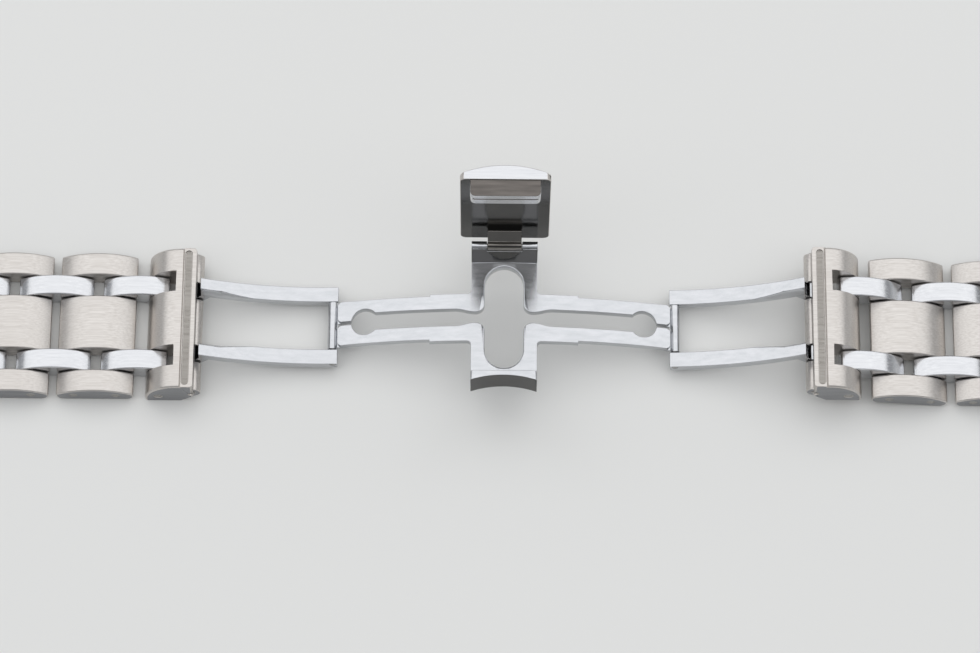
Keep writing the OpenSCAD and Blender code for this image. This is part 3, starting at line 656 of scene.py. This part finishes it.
table_mesh = bpy.data.meshes.new("table")
corners = [(x * TABLE_HALF, y * TABLE_HALF, 0) for x, y in ((-1, -1), (1, -1), (1, 1), (-1, 1))]
table_mesh.from_pydata(corners, [], [(0, 1, 2, 3)])
table = bpy.data.objects.new("table", table_mesh)
bpy.context.scene.collection.objects.link(table)
board = bpy.data.materials.new("pale matt table board")
board.use_nodes = True
board_tree = board.node_tree
board_tree.nodes.clear()
board_place = add(board_tree, "ShaderNodeTexCoord")
board_cloud = add(board_tree, "ShaderNodeTexNoise", {"Scale": 4.0, "Detail": 2.0},
                  {"Vector": board_place.outputs["Object"]})
board_tint = add(board_tree, "ShaderNodeMix",
                 {"A": linear("#DEDEDC"), "B": linear("#E4E4E2")},
                 {"Factor": board_cloud.outputs["Fac"]}, data_type="RGBA")
board_surface = add(board_tree, "ShaderNodeBsdfPrincipled", {"Roughness": 0.9},
                    {"Base Color": board_tint.outputs["Result"]})
add(board_tree, "ShaderNodeOutputMaterial", links={"Surface": board_surface.outputs["BSDF"]})
table_mesh.materials.append(board)

world = bpy.data.worlds.new("plain studio room")
world.use_nodes = True
room_tree = world.node_tree
room_tree.nodes.clear()
way = add(room_tree, "ShaderNodeTexCoord")
height = add(room_tree, "ShaderNodeSeparateXYZ", links={"Vector": way.outputs["Generated"]})
wall_end = add(room_tree, "ShaderNodeMapRange", {"From Min": WALL_TOP, "From Max": ROOM_START},
               {"Value": height.outputs["Z"]}, interpolation_type="SMOOTHSTEP")
paint = add(room_tree, "ShaderNodeMix", {"A": linear("#D2D3D4"), "B": linear("#9B9DA0")},
            {"Factor": wall_end.outputs["Result"]}, data_type="RGBA")
room = add(room_tree, "ShaderNodeBackground", {"Strength": 1.0},
           {"Color": paint.outputs["Result"]})
add(room_tree, "ShaderNodeOutputWorld", links={"Surface": room.outputs[0]})
bpy.context.scene.world = world


def softbox(name, size, place, radiance):
    """A rectangular lamp that looks straight down, with a face of the given brightness."""
    lamp = bpy.data.lights.new(name, "AREA")
    lamp.shape = "RECTANGLE"
    lamp.size, lamp.size_y = size
    lamp.energy = radiance * math.pi * size[0] * size[1]
    box = bpy.data.objects.new(name, lamp)
    bpy.context.scene.collection.objects.link(box)
    box.location = place


softbox("softbox above", BOX_SIZE, BOX_PLACE, BOX_RADIANCE)
print("room and one softbox are set")

# %% [markdown]
# ## The camera
# The photograph was taken from high above the front of the bracelet, 69 degrees up, with a
# long lens from about half a metre. The camera is placed from one point whose place in the
# picture is known: the middle of the clasp, 3 mm above the table.

# %% Set up the camera
PICTURE = (980, 653)
MIDDLE = [pixels / 2 for pixels in PICTURE]
FOCAL_PIXELS = 4000.0
ELEVATION, ROLL, DISTANCE = 69.0, 0.49, 0.486
SEEN_AT = (503.9, 324.7)
# In mm: from the lid's pin to the middle of the clasp, and the height of the known point
PIN_TO_MIDDLE, SEEN_HEIGHT = 7.77, 3.0

lid_pin_low, lid_pin_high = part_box("lid_pin")
clasp = Vector(((lid_pin_low.x + lid_pin_high.x) / 2,
                (lid_pin_low.y + lid_pin_high.y) / 2 - PIN_TO_MIDDLE * MM, SEEN_HEIGHT * MM))
tip, roll = math.radians(ELEVATION), math.radians(ROLL)
ahead = Vector((0, math.cos(tip), -math.sin(tip)))
level = Vector((1, 0, 0))
above = level.cross(ahead)
right = level * math.cos(roll) + above * math.sin(roll)
up = above * math.cos(roll) - level * math.sin(roll)
eye = (clasp - ahead * DISTANCE
       - right * ((SEEN_AT[0] - MIDDLE[0]) / FOCAL_PIXELS * DISTANCE)
       + up * ((SEEN_AT[1] - MIDDLE[1]) / FOCAL_PIXELS * DISTANCE))

lens = bpy.data.cameras.new("camera")
lens.sensor_width = 36.0
lens.sensor_fit = "HORIZONTAL"
lens.lens = FOCAL_PIXELS * lens.sensor_width / PICTURE[0]
lens.clip_start = 0.01
lens.clip_end = 20.0
camera = bpy.data.objects.new("camera", lens)
bpy.context.scene.collection.objects.link(camera)
turn = Matrix((right, up, -ahead)).transposed().to_4x4()
camera.matrix_world = Matrix.Translation(eye) @ turn
bpy.context.scene.camera = camera
bpy.context.scene.view_settings.view_transform = "Standard"
print("camera at", [round(v, 4) for v in eye], "lens", round(lens.lens, 2), "mm")
